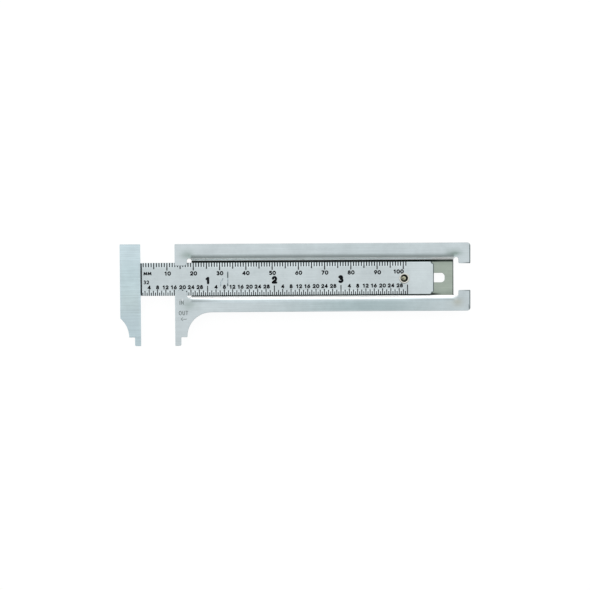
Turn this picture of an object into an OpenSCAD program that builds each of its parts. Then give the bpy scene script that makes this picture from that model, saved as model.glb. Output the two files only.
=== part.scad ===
// Pocket slide caliper of stamped stainless sheet, lying on its back with the scales facing up.
// X runs along the rule towards its tail, Y across it away from the jaw tips, Z out of the scales.
// Pieces are drawn from the fixed jaw's measuring face (x = 0), the middle of the frame (y = 0)
// and the back of the channel floor (z = 0). The whole caliper is then set on its own base.

/* [Opening] */
// Gap between the two measuring faces
opening = 13; // [0:0.1:80]

/* [Rule] */
// Length of the graduated stretch, from the zero to the last mark
scale_l = 101.6; // [90:0.1:120]
// Blank length of the rule behind its last mark
tail_l = 10.1; // [8:0.1:20]
// Width of the rule
rule_w = 12.5; // [11:0.1:16]
// Thickness of the rule
rule_t = 1; // [0.7:0.05:1.5]
// Size of the clipped corners at the rule's tail
tail_clip = 1.1; // [0.3:0.1:2]
// Length of the rule that lies under the sliding jaw
rule_underlap = 7.2; // [4:0.1:7.5]
// How far the rule lies off the channel's middle, towards the jaw tips
rule_drop = 0.13; // [0:0.01:0.4]

/* [Graduations] */
// Width of an etched line
line_w = 0.35; // [0.1:0.01:0.4]
// Depth of the etching
etch_d = 0.08; // [0.03:0.01:0.2]
// Length of the line at each millimetre
mm_line = 1.6; // [1:0.05:2.2]
// Length of the line at every fifth millimetre
five_line = 2.35; // [2:0.05:2.8]
// Length of the line at every tenth millimetre
ten_line = 2.9; // [2.5:0.05:3.4]
// Length of the line at each 32nd of an inch
thirty_second_line = 1.25; // [0.8:0.05:1.6]
// Length of the line at each 16th of an inch
sixteenth_line = 1.9; // [1.5:0.05:2.2]
// Length of the line at each 8th of an inch
eighth_line = 2.3; // [2:0.05:2.8]
// Length of the line at each inch
inch_line = 3.7; // [3:0.05:4.2]

/* [Frame] */
// Thickness of the frame's sheet
sheet_t = 1; // [0.6:0.05:1.3]
// Flat width of the rails, as the mean of the two
rail_flat = 3.55; // [2:0.05:6]
// How far the channel lies off the frame's middle, towards the jaw tips
channel_drop = 0.25; // [0:0.05:0.45]
// Gap between the rule's edge and the channel's side
side_play = 0.6; // [0.45:0.05:0.8]
// Gap over and under the rule
slide_gap = 0.1; // [0.05:0.01:0.3]
// Outer radius of the bend from a rail into the channel
shoulder_r = 2; // [1.4:0.1:2.4]
// Inner radius of the bend from the shoulder into the channel's floor
crease_r = 0.3; // [0.1:0.05:0.5]
// Slope of the shoulder between its two bends, in degrees
shoulder_a = 60; // [50:1:70]
// Distance of the frame's end past the rule's tail when the jaws are shut
tail_inset = 0.8; // [0:0.1:5]
// Radius of the frame's two corners at the tail end
frame_corner_r = 1.2; // [0.3:0.1:3]

/* [Tabs] */
// Reach of the jaw end's tabs over the rule's edges
jaw_tab_lap = 1.5; // [0.5:0.05:2.5]
// Reach of the tail end's tabs over the rule's edges
tail_tab_lap = 1.15; // [0.5:0.05:2.5]
// Length of the tail end's tabs
tail_tab_l = 4.5; // [2:0.1:8]
// Width of the relief gap between the tabs and the channel's floor
relief_w = 1.65; // [1:0.05:2.2]
// How far a relief gap reaches past the channel's side
relief_over = 0.6; // [0.5:0.05:1.5]

/* [Jaws] */
// Reach of the jaws below the lower rail
jaw_l = 12.7; // [8:0.1:20]
// Width of each nib for inside measuring
nib_w = 2.3; // [1.5:0.05:4]
// Length of each nib
nib_l = 3.3; // [1.5:0.1:6]
// Width of the fixed jaw above its nib
fixed_neck_w = 4.65; // [4:0.05:8]
// Radius of the fixed jaw's run into the lower rail
fixed_fillet_r = 9.4; // [3:0.1:9.4]
// Width of the sliding jaw
slide_jaw_w = 7.8; // [7.6:0.1:14]
// Width of the sliding jaw above its nib
slide_neck_w = 4.5; // [4:0.05:7]
// Radius of the sliding jaw's hollowed outer edge
slide_hollow_r = 9.7; // [6:0.1:12]
// Thickness of the sliding jaw
slide_jaw_t = 1; // [0.5:0.05:1.1]
// Radius of the nibs' outer tip corners
nib_corner_r = 0.6; // [0.2:0.1:1.4]

/* [Rivet] */
// Distance of the rivet from the rule's tail
rivet_tail = 11.4; // [6:0.1:14]
// Radius of the rivet's shank
shank_r = 1.5; // [1.3:0.05:1.55]
// Radius of the rivet's bore
bore_r = 1.1; // [0.6:0.05:1.15]
// Depth of the bore's straight wall under the rule's face
bore_depth = 1.2; // [0.5:0.1:1.6]
// Radius of the clinched end on the rule's face
clinch_r = 2; // [1.8:0.05:2.2]
// Height of the clinched end over the rule's face
clinch_h = 0.55; // [0.3:0.05:0.8]
// Radius of the rivet's head behind the floor
head_r = 3.2; // [2.6:0.1:4]
// Thickness of the rivet's head
head_t = 0.65; // [0.4:0.05:1]
// Radial gap between the shank and what it passes through
shank_play = 0.05; // [0.02:0.01:0.1]

/* [Slot] */
// Width of the slot in the channel's floor
slot_w = 3.6; // [3.5:0.05:4.4]
// Radius of the slot's corners
slot_corner_r = 1.4; // [0.5:0.1:1.7]
// Land between the slot and the jaw end of the floor
slot_land = 3.85; // [2:0.05:8]
// Distance of the slot's end past the shut rivet's centre
slot_over = 2.7; // [1.6:0.1:3]

/* [Washers] */
// Radius of the flat washer
washer_r = 3.9; // [3:0.1:5]
// Thickness of the flat washer
washer_t = 0.3; // [0.2:0.05:0.6]
// Gap between the flat washer and the floor
washer_gap = 0.05; // [0.02:0.01:0.2]
// Outer radius of the spring washer
spring_r = 3.3; // [2.5:0.1:4]
// Thickness of the spring washer's strip
spring_t = 0.25; // [0.15:0.05:0.3]
// Height of the spring washer as fitted
spring_h = 0.45; // [0.35:0.05:0.8]

/* [Hidden] */

// Fineness of drawn rounds, and steps in the arcs of a drawn section
$fn = 64;
bend_steps = 8;

// How far a cut runs past what it cuts, and how far the pressed shoulder runs into the flat sheet
cut = 1;
seam_lap = 0.5;

// Lengths of the two units, and marks for the longer lines
mm = 1;
inch = 25.4;
inch_parts = 32;
mm_count = floor(scale_l / mm);
part_l = inch / inch_parts;
part_count = round(scale_l / part_l);

// Levels, from the back of the channel floor
rule_z = sheet_t + slide_gap;
rule_top = rule_z + rule_t;
rail_z = rule_top + slide_gap;
face_z = rail_z + sheet_t;

// The channel's section: half width of its floor, run of the shoulder, half width of the frame
floor_half = rule_w / 2 + side_play;
bends_r = shoulder_r + crease_r;
slope_l = (rail_z - bends_r * (1 - cos(shoulder_a))) / sin(shoulder_a);
shoulder_run = bends_r * sin(shoulder_a) + slope_l * cos(shoulder_a);
flat_y = floor_half + shoulder_run;
half_w = flat_y + rail_flat;

// Places along the frame, and the rule's place across it
rule_l = scale_l + tail_l;
rule_y = -channel_drop - rule_drop;
frame_l = rule_l + tail_inset;
jaw_tab_l = 2 * nib_w;
floor_x0 = jaw_tab_l + relief_w;
tail_tab_x = frame_l - tail_tab_l;
floor_x1 = tail_tab_x - relief_w;
relief_x0 = jaw_tab_l + relief_w / 2;
relief_x1 = tail_tab_x - relief_w / 2;
turn_x0 = relief_x0 + shoulder_run;
turn_x1 = relief_x1 - shoulder_run;
relief_y = floor_half + relief_over;
jaw_window_y = rule_w / 2 - jaw_tab_lap;
tail_window_y = rule_w / 2 - tail_tab_lap;
rivet_at = rule_l - rivet_tail;
slot_x0 = floor_x0 + slot_land;
slot_x1 = rivet_at + slot_over;

// Places on the jaws
jaw_tip_y = -half_w - jaw_l;
nib_top_y = jaw_tip_y + nib_l;
fixed_r = min(fixed_fillet_r, jaw_l - nib_l);

// Levels behind the floor, for the washers and the rivet's head
washer_z = -washer_gap - washer_t;
spring_z = washer_z - spring_h;
head_z = spring_z - head_t;

// The rivet's oval head and its rolled lip, as shares of their own sizes
head_flat_share = 0.45;
head_edge_share = 0.45;
lip_mouth_share = 0.38;
arc_steps = 8;
head_flat_r = head_r * head_flat_share;
dome_h = head_t * (1 - head_edge_share);
lip_mouth_r = bore_r + (clinch_r - bore_r) * lip_mouth_share;
lip_r = (clinch_r - lip_mouth_r) / 2;

// The caliper's box at this opening, for the place of its origin
low_x = -opening - slide_jaw_w;
middle_x = (low_x + frame_l) / 2;
middle_y = (jaw_tip_y + half_w) / 2;

// Colours as photographed
steel = [0.76, 0.81, 0.82];
rail_steel = [0.72, 0.78, 0.78];
bright_steel = [0.85, 0.86, 0.83];
black_fill = [0.1, 0.11, 0.12];

// The shoulder's section, y being the place of the floor's edge. Its two bends turn opposite ways.
function crease(y, r, a) = [y + r * sin(a), sheet_t + crease_r - r * cos(a)];
function bend(y, r, a) = [y + shoulder_run - r * sin(a), face_z - shoulder_r + r * cos(a)];
angles_up = [for (i = [0:bend_steps]) shoulder_a * i / bend_steps];
angles_down = [for (i = [bend_steps:-1:0]) shoulder_a * i / bend_steps];
function shoulder_section(y) = concat(
    [for (a = angles_up) crease(y, crease_r, a)],
    [for (a = angles_down) bend(y, shoulder_r, a)],
    [[y + shoulder_run + seam_lap, face_z], [y + shoulder_run + seam_lap, rail_z]],
    [for (a = angles_up) bend(y, shoulder_r - sheet_t, a)],
    [for (a = angles_down) crease(y, crease_r + sheet_t, a)]
);

// Lays a section drawn across the frame along X, from x0 to x1
module run_along(x0, x1) {
    translate([x0, 0, 0])
        rotate([90, 0, 90])
            linear_extrude(x1 - x0)
                children();
}

// Sets what is drawn round the channel's middle in its place
module on_channel() {
    translate([0, -channel_drop, 0]) children();
}

// Both sides of the channel alike
module both_sides() {
    children();
    mirror([0, 1, 0]) children();
}

// A shoulder turned through a quarter round the channel's corner
module turned_shoulder(x, start) {
    translate([x, floor_half, 0])
        rotate(start)
            rotate_extrude(angle = 90)
                polygon(shoulder_section(0));
}

// A square with round corners, from one corner to the opposite one
module rounded(x0, y0, x1, y1, r) {
    translate([x0 + r, y0]) square([x1 - x0 - 2 * r, y1 - y0]);
    translate([x0, y0 + r]) square([x1 - x0, y1 - y0 - 2 * r]);
    for (x = [x0 + r, x1 - r], y = [y0 + r, y1 - r])
        translate([x, y]) circle(r);
}

// The fixed jaw's nib; the sliding jaw's is its mirror image
module nib_outline() {
    translate([0, jaw_tip_y]) square([nib_w - nib_corner_r, nib_l]);
    translate([0, jaw_tip_y + nib_corner_r]) square([nib_w, nib_l - nib_corner_r]);
    translate([nib_w - nib_corner_r, jaw_tip_y + nib_corner_r]) circle(nib_corner_r);
}

// The run of the fixed jaw into the lower rail
module fixed_fillet() {
    difference() {
        translate([fixed_neck_w, -half_w - fixed_r]) square(fixed_r);
        translate([fixed_neck_w + fixed_r, -half_w - fixed_r]) circle(fixed_r);
    }
}

// Outline of the frame's front sheet: rails and fixed jaw
module sheet_outline() {
    translate([0, -half_w]) square([frame_l - frame_corner_r, 2 * half_w]);
    translate([0, frame_corner_r - half_w]) square([frame_l, 2 * (half_w - frame_corner_r)]);
    for (y = [frame_corner_r - half_w, half_w - frame_corner_r])
        translate([frame_l - frame_corner_r, y]) circle(frame_corner_r);
    translate([0, nib_top_y]) square([fixed_neck_w, -half_w - nib_top_y]);
    nib_outline();
    fixed_fillet();
}

// Outline of what the pressed channel takes out of the front sheet
module channel_outline() {
    translate([turn_x0, -flat_y]) square([turn_x1 - turn_x0, 2 * flat_y]);
    translate([relief_x0, -floor_half])
        square([relief_x1 - relief_x0, 2 * floor_half]);
    for (x = [turn_x0, turn_x1], y = [-floor_half, floor_half])
        translate([x, y]) circle(shoulder_run);
}

// Outline of the relief gap between the tabs and the floor, x being its middle
module relief_outline(x) {
    end_y = relief_y - relief_w / 2;
    translate([x - relief_w / 2, -end_y]) square([relief_w, 2 * end_y]);
    for (y = [-end_y, end_y])
        translate([x, y]) circle(relief_w / 2);
}

// Outline of the two windows between the tabs
module window_outline() {
    translate([-cut, -jaw_window_y]) square([cut + relief_x0, 2 * jaw_window_y]);
    translate([relief_x1, -tail_window_y])
        square([frame_l + cut - relief_x1, 2 * tail_window_y]);
}

// The slot that the rivet runs in, on the rule's line
module slot_outline() {
    translate([0, rule_y])
        rounded(slot_x0, -slot_w / 2, slot_x1, slot_w / 2, slot_corner_r);
}

// Frame: one pressed sheet with the fixed jaw, rails, channel and tabs
module frame() {
    color(rail_steel)
        difference() {
            union() {
                translate([0, 0, rail_z])
                    linear_extrude(sheet_t)
                        difference() {
                            sheet_outline();
                            on_channel() channel_outline();
                        }
                on_channel()
                    both_sides() {
                        run_along(turn_x0, turn_x1) polygon(shoulder_section(floor_half));
                        turned_shoulder(turn_x0, 90);
                        turned_shoulder(turn_x1, 0);
                    }
                on_channel()
                    translate([floor_x0, -floor_half, 0])
                        cube([floor_x1 - floor_x0, 2 * floor_half, sheet_t]);
            }
            translate([0, 0, -cut])
                linear_extrude(face_z + 2 * cut) {
                    relief_outline(relief_x0);
                    relief_outline(relief_x1);
                    window_outline();
                    slot_outline();
                }
        }
}

// Length of the millimetre line number n
function mm_line_l(n) = n % 10 == 0 ? ten_line : n % 5 == 0 ? five_line : mm_line;

// Length of the line at n 32nds of an inch
function part_line_l(n) =
    n % inch_parts == 0 ? inch_line
    : n % 4 == 0 ? eighth_line
    : n % 2 == 0 ? sixteenth_line
    : thirty_second_line;

// Etched lines of the millimetre scale, over the rule's upper edge by extra
module mm_lines(extra) {
    for (n = [1:mm_count])
        translate([n * mm - line_w / 2, rule_w / 2 - mm_line_l(n), rule_top - etch_d])
            cube([line_w, mm_line_l(n) + extra, etch_d + extra]);
}

// Etched lines of the inch scale, over the rule's lower edge by extra
module part_lines(extra) {
    for (n = [1:part_count])
        translate([n * part_l - line_w / 2, -rule_w / 2 - extra, rule_top - etch_d])
            cube([line_w, part_line_l(n) + extra, etch_d + extra]);
}

// Moves what slides to its place at this opening
module on_slide() {
    translate([-opening, rule_y, 0]) children();
}

// Outline of the rule, from under the sliding jaw to the clipped tail
module rule_outline() {
    polygon([
        [-rule_underlap, -rule_w / 2],
        [rule_l - tail_clip, -rule_w / 2],
        [rule_l, tail_clip - rule_w / 2],
        [rule_l, rule_w / 2 - tail_clip],
        [rule_l - tail_clip, rule_w / 2],
        [-rule_underlap, rule_w / 2]
    ]);
}

// Rule: flat strip with etched lines and the rivet's hole
module rule() {
    color(steel)
        on_slide()
            difference() {
                translate([0, 0, rule_z])
                    linear_extrude(rule_t)
                        rule_outline();
                translate([rivet_at, 0, rule_z - cut])
                    cylinder(h = rule_t + 2 * cut, r = shank_r + shank_play);
                mm_lines(cut);
                part_lines(cut);
            }
}

// Black fill of the millimetre scale
module mm_graduations() {
    color(black_fill) on_slide() mm_lines(0);
}

// Black fill of the inch scale
module inch_graduations() {
    color(black_fill) on_slide() part_lines(0);
}

// Outline of the sliding jaw, from its measuring face at x = 0 back
module slide_jaw_outline() {
    translate([-slide_neck_w, nib_top_y]) square([slide_neck_w, half_w - nib_top_y]);
    difference() {
        translate([-slide_jaw_w, nib_top_y])
            square([slide_jaw_w - slide_neck_w, half_w - nib_top_y]);
        translate([-slide_neck_w - slide_hollow_r, nib_top_y]) circle(slide_hollow_r);
    }
    mirror([1, 0]) nib_outline();
}

// Sliding jaw: flat plate fixed on the rule's end, its top and tip level with the frame's
module sliding_jaw() {
    color(steel)
        translate([-opening, 0, rule_top])
            linear_extrude(slide_jaw_t)
                slide_jaw_outline();
}

// The oval underside of the rivet's head, from its flat out to its edge
function oval_head() = [
    for (i = [0:arc_steps])
        [head_flat_r + (head_r - head_flat_r) * sin(90 * i / arc_steps),
         head_z + dome_h * (1 - cos(90 * i / arc_steps))]
];

// The rolled lip, from its outer edge over its crest to the mouth of the bore
function rolled_lip() = [
    for (i = [0:arc_steps])
        [clinch_r - lip_r + lip_r * cos(180 * i / arc_steps),
         rule_top + clinch_h - lip_r + lip_r * sin(180 * i / arc_steps)]
];

// The rivet's section: head, shank, lip and bore
function rivet_section() = concat(
    [[0, head_z]],
    oval_head(),
    [[head_r, spring_z], [shank_r, spring_z], [shank_r, rule_top], [clinch_r, rule_top]],
    rolled_lip(),
    [[bore_r, rule_top - clinch_h], [bore_r, rule_top - bore_depth]],
    [[0, rule_top - bore_depth - bore_r / 2]]
);

// Stop rivet: its head is behind the floor, its clinched end on the rule's face
module stop_rivet() {
    color(bright_steel)
        on_slide()
            translate([rivet_at, 0, 0])
                rotate_extrude()
                    polygon(rivet_section());
}

// Flat washer behind the floor, wider than the slot
module slide_washer() {
    color(steel)
        on_slide()
            translate([rivet_at, 0, washer_z])
                difference() {
                    cylinder(h = washer_t, r = washer_r);
                    translate([0, 0, -cut])
                        cylinder(h = washer_t + 2 * cut, r = shank_r + shank_play);
                }
}

// Conical spring washer between the flat washer and the rivet's head
module spring_washer() {
    color(bright_steel)
        on_slide()
            translate([rivet_at, 0, 0])
                rotate_extrude()
                    polygon([
                        [shank_r + shank_play, spring_z],
                        [spring_r, washer_z - spring_t],
                        [spring_r, washer_z],
                        [shank_r + shank_play, spring_z + spring_t]
                    ]);
}

// Sets the caliper with its box's middle over the origin and its lowest point on the ground
module on_base() {
    translate([-middle_x, -middle_y, -head_z]) children();
}

on_base() frame();
on_base() rule();
on_base() sliding_jaw();
on_base() stop_rivet();
on_base() slide_washer();
on_base() spring_washer();
on_base() mm_graduations();
on_base() inch_graduations();
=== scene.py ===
"""Looks of a pocket slide caliper of stamped stainless sheet, open by 13 mm, seen face on.

Pieces are drawn in millimetres from the fixed jaw's measuring face (x = 0), the middle of the frame
(y = 0) and the back of the channel floor (z = 0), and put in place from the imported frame.
"""

import math

import bpy
import numpy as np
from mathutils import Euler, Matrix, Vector
from mathutils.geometry import delaunay_2d_cdt


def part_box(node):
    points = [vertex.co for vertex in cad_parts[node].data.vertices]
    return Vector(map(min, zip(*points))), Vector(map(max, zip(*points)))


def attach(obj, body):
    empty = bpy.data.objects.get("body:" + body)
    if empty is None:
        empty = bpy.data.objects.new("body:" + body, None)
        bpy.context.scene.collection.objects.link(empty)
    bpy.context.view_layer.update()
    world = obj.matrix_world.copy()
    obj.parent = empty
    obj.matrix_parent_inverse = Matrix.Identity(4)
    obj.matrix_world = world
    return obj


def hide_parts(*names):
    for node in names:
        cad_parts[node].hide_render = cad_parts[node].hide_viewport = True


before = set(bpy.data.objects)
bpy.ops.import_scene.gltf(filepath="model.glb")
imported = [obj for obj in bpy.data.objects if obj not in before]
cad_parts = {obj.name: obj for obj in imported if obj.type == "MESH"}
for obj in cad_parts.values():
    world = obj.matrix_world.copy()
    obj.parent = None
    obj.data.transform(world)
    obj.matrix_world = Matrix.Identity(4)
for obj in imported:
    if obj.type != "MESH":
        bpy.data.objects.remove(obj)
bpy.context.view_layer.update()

MM = 0.001

# Sizes of the sheet parts, in millimetres
SHEET = 1.0
SLIDE_GAP = 0.1
RULE_W = 12.5
RULE_T = 1.0
CHANNEL_DROP = 0.25
RULE_DROP = 0.13
SIDE_PLAY = 0.6
RAIL_FLAT = 3.55
SHOULDER_R = 2.0
CREASE_R = 0.3
SLOPE = math.radians(60)
EDGE = 0.16
CORNER = 0.25
FRAME_CORNER = 1.2
JAW_TAB_CORNER = 1.1
TAIL_TAB_CORNER = 0.5
RELIEF = 1.65
RELIEF_OVER = 0.6
JAW_TAB_LAP = 1.5
TAIL_TAB_LAP = 1.15
TAIL_TAB = 4.5
NIB_W = 2.3
NIB_L = 3.3
NIB_CORNER = 0.6
JAW_L = 12.7
NECK_W = 4.65
FILLET_R = 9.1
SLIDE_JAW_W = 7.8
SLIDE_NECK_W = 4.5
SLIDE_HOLLOW_R = 9.7
SLIDE_JAW_T = 1.0
SLIDE_JAW_SET_BACK = 0.02
TAIL_CLIP = 1.1
SLOT_W = 3.6
SLOT_CORNER = 1.4
SLOT_LAND = 3.85
SLOT_OVER = 2.7
RIVET_TAIL = 11.4
SCALE_L = 101.6
TAIL_L = 10.1
INCH = 25.4

# Rivet and washers, in millimetres
SHANK_R = 1.5
SHANK_PLAY = 0.05
CLINCH_R = 2.0
CLINCH_H = 0.55
CLINCH_BASE = 0.6
LIP_CREST_R = 1.7
LIP_DROP = 0.3
BORE_R = 1.37
BORE_FLOOR = 0.5
BUTTON_R = 0.92
BUTTON_H = 0.3
GROOVE_EDGE = 0.08
HEAD_R = 3.2
HEAD_T = 0.65
HEAD_ROUND = 0.55
HEAD_EASE = 0.08
WASHER_R = 3.9
WASHER_T = 0.3
WASHER_EASE = 0.06
WASHER_GAP = 0.05
SPRING_R = 3.3
SPRING_T = 0.25
SPRING_H = 0.45
SPRING_EASE = 0.05
WASHER_Z = -WASHER_GAP - WASHER_T
SPRING_Z = WASHER_Z - SPRING_H
HEAD_Z = SPRING_Z - HEAD_T

# Levels over the back of the floor
RULE_Z = SHEET + SLIDE_GAP
RULE_TOP = RULE_Z + RULE_T
RAIL_Z = RULE_TOP + SLIDE_GAP
FACE_Z = RAIL_Z + SHEET

# The channel's section and the frame's outline
FLOOR_HALF = RULE_W / 2 + SIDE_PLAY
BENDS_R = SHOULDER_R + CREASE_R
SLOPE_L = (RAIL_Z - BENDS_R * (1 - math.cos(SLOPE))) / math.sin(SLOPE)
SHOULDER_RUN = BENDS_R * math.sin(SLOPE) + SLOPE_L * math.cos(SLOPE)
HALF_W = FLOOR_HALF + SHOULDER_RUN + RAIL_FLAT
JAW_TIP = -HALF_W - JAW_L
NIB_TOP = JAW_TIP + NIB_L
JAW_TAB = 2 * NIB_W

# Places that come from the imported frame, in metres
FRAME_LO, FRAME_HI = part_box("frame")
RULE_LO, RULE_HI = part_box("rule")
FRAME_AT = Vector((FRAME_LO.x, FRAME_HI.y - HALF_W * MM, FRAME_LO.z))
JAW_AT = Vector((RULE_HI.x - (SCALE_L + TAIL_L) * MM, FRAME_AT.y, FRAME_LO.z))
SLIDE_AT = JAW_AT - Vector((0, CHANNEL_DROP + RULE_DROP, 0)) * MM
FRAME_L = (FRAME_HI.x - FRAME_LO.x) / MM
RULE_L = SCALE_L + TAIL_L
RULE_START = (RULE_LO.x - SLIDE_AT.x) / MM
TAIL_IN_FRAME = RULE_L - (FRAME_AT.x - SLIDE_AT.x) / MM
TAIL_TAB_X = FRAME_L - TAIL_TAB
FLOOR_X0 = JAW_TAB + RELIEF
FLOOR_X1 = TAIL_TAB_X - RELIEF
TURN_L = 1.3
TURN_X0 = JAW_TAB + RELIEF / 2 + TURN_L
TURN_X1 = TAIL_TAB_X - RELIEF / 2 - TURN_L
RELIEF_Y = FLOOR_HALF + RELIEF_OVER
RIVET_X = RULE_L - RIVET_TAIL

# How the pressing softens: width of the ramp at a channel corner, the rails' fade to the shoulder
CORNER_RAMP = 0.7
FADE_DROP = 0.05
FADE_RUN = 1.8

# Fineness of outlines and meshes
SMALL_ARC_R = 0.4
SMALL_ARC_STEPS = 5
ARC_STEPS = 16
EDGE_STEPS = 4
HOLLOW_STEPS = 14
SHOULDER_STEP = 0.1
TURN_STEP = 0.09
LINE_STEP = 0.06


def smooth(t):
    """0 below 0, 1 above 1, and an even S between them."""
    t = max(0.0, min(1.0, t))
    return t * t * (3 - 2 * t)


def rising(value, start, width):
    """0 up to a start, 1 from a width past it, and an even S between them."""
    return smooth((value - start) / width)


def rounded_loop(corners):
    """Closed outline through corners (x, y, radius), each of them rounded by its radius."""
    points = []
    for i, (x, y, radius) in enumerate(corners):
        here = Vector((x, y))
        back = (Vector(corners[i - 1][:2]) - here).normalized()
        ahead = (Vector(corners[(i + 1) % len(corners)][:2]) - here).normalized()
        half = back.angle(ahead) / 2
        centre = here + (back + ahead).normalized() * radius / math.sin(half)
        start = here + back * radius / math.tan(half) - centre
        end = here + ahead * radius / math.tan(half) - centre
        turn = math.atan2(start.cross(end), start.dot(end))
        steps = SMALL_ARC_STEPS if radius < SMALL_ARC_R else ARC_STEPS
        for k in range(steps + 1):
            points.append(centre + Matrix.Rotation(turn * k / steps, 2) @ start)
    return [p for i, p in enumerate(points) if (p - points[i - 1]).length > 1e-5]


def inset_loop(loop, distance):
    """The loop moved sideways into the material, which lies on its left."""
    moved = []
    for i, here in enumerate(loop):
        before = (here - loop[i - 1]).normalized()
        after = (loop[(i + 1) % len(loop)] - here).normalized()
        sides = [Vector((-d.y, d.x)) for d in (before, after)]
        moved.append(here + (sides[0] + sides[1]) * distance / (1 + sides[0].dot(sides[1])))
    return moved


def inside(points, loops, margin):
    """For each point, whether it lies in the material and at least margin from every edge."""
    x, y = np.array(points, float).reshape(-1, 2).T
    odd = np.zeros(len(x), bool)
    nearest = np.full(len(x), np.inf)
    for loop in loops:
        for a, b in zip(loop, loop[1:] + loop[:1]):
            run, rise = b.x - a.x, b.y - a.y
            crossed = (a.y > y) != (b.y > y)
            if rise:
                odd ^= crossed & (x < a.x + (y - a.y) * run / rise)
            along = np.clip(((x - a.x) * run + (y - a.y) * rise) / (run * run + rise * rise), 0, 1)
            gap = np.hypot(x - a.x - along * run, y - a.y - along * rise)
            nearest = np.minimum(nearest, gap)
    return odd & (nearest >= margin)


def plate_plan(loops, columns, rows):
    """Triangles of the material inside loops, with inner points on a grid of columns and rows."""
    grid = [(x, y) for x in columns for y in rows]
    kept = [p for p, clear in zip(grid, inside(grid, loops, EDGE / 2)) if clear]
    coords, edges = [], []
    for loop in loops:
        first = len(coords)
        coords += loop
        edges += [(first + i, first + (i + 1) % len(loop)) for i in range(len(loop))]
    coords += [Vector(p) for p in kept]
    points, _, triangles, sources, _, _ = delaunay_2d_cdt(coords, edges, [], 1, 1e-6)
    place = {source: i for i, group in enumerate(sources) for source in group}
    middles = [sum((points[i] for i in t), Vector((0, 0))) / 3 for t in triangles]
    filled = inside(middles, loops, -1)
    return points, [t for t, ok in zip(triangles, filled) if ok], place


def leaning(height, x, y, soften=None):
    """Upward normal of a height function, its lean softened by a share and kept under a limit."""
    step = EDGE / 8
    lean = Vector((
        (height(x - step, y) - height(x + step, y)) / (2 * step),
        (height(x, y - step) - height(x, y + step)) / (2 * step),
        0,
    ))
    if soften:
        share, limit = soften(x, y)
        lean = lean * share / math.sqrt(1 + (lean.length * share / limit) ** 2)
    return (lean + Vector((0, 0, 1))).normalized()


def plate(name, loops, top, bottom, columns, rows, at, edge=EDGE, tone=None, soften=None):
    """Sheet piece between two height functions, inside loops, with rounded edges all round."""
    points, triangles, place = plate_plan([inset_loop(loop, edge) for loop in loops], columns, rows)
    verts, normals, faces = [], [], []
    for height, side in ((top, 1), (bottom, -1)):
        first = len(verts)
        for p in points:
            verts.append(Vector((p.x, p.y, height(p.x, p.y))))
            normals.append(side * leaning(height, p.x, p.y, soften))
        faces += [tuple(first + i for i in (t if side > 0 else t[::-1])) for t in triangles]
    source = 0
    for loop in loops:
        rings = []
        for height, side in ((top, 1), (bottom, -1)):
            lip = []
            for k in range(EDGE_STEPS):
                turn = math.pi / 2 * k / EDGE_STEPS
                ring = inset_loop(loop, edge * (1 - math.cos(turn)))
                outward = [(a - b).normalized() for a, b in zip(loop, inset_loop(loop, edge))]
                lip.append(range(len(verts), len(verts) + len(loop)))
                for p, out in zip(ring, outward):
                    drop = side * edge * (1 - math.sin(turn))
                    verts.append(Vector((p.x, p.y, height(p.x, p.y) - drop)))
                    up = side * leaning(height, p.x, p.y, soften) * math.sin(turn)
                    normals.append((Vector((out.x, out.y, 0)) * math.cos(turn) + up).normalized())
            first = 0 if side > 0 else len(points)
            lip.append([first + place[source + i] for i in range(len(loop))])
            rings += lip[::-1] if side > 0 else lip
        source += len(loop)
        for upper, lower in zip(rings, rings[1:]):
            for i in range(len(loop)):
                j = (i + 1) % len(loop)
                faces.append((upper[j], upper[i], lower[i], lower[j]))
    tones = None
    if tone:
        tones = []
        for v, n in zip(verts, normals):
            # Painted shade on lips that face the back
            lit = 1 - FAR_SHADE * rising(n.y, 0.45, 0.3)
            tones.append([t * lit for t in tone(v.x, v.y)] if n.z > 0 else PLAIN)
    return finished(name, verts, faces, at, normals, tones)


def finished(name, verts, faces, at, normals=None, tones=None):
    """Mesh object of points in millimetres, placed in its mesh, with its object at the origin."""
    mesh = bpy.data.meshes.new(name)
    mesh.from_pydata([at + v * MM for v in verts], [], faces)
    mesh.shade_smooth()
    if normals:
        mesh.normals_split_custom_set_from_vertices(normals)
    if tones:
        # The tone attribute: painted light and shade, with some of the steel's own tint, multiplied
        # into the colour
        layer = mesh.color_attributes.new("tone", "FLOAT_COLOR", "POINT")
        layer.data.foreach_set("color", [part for tone in tones for part in (*tone, 1)])
    piece = bpy.data.objects.new(name, mesh)
    bpy.context.scene.collection.objects.link(piece)
    return piece


def spaced(start, end, step):
    """Even places from start to end, about step apart."""
    count = max(1, round((end - start) / step))
    return [start + (end - start) * i / count for i in range(count + 1)]


# Frame: one pressed sheet


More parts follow.
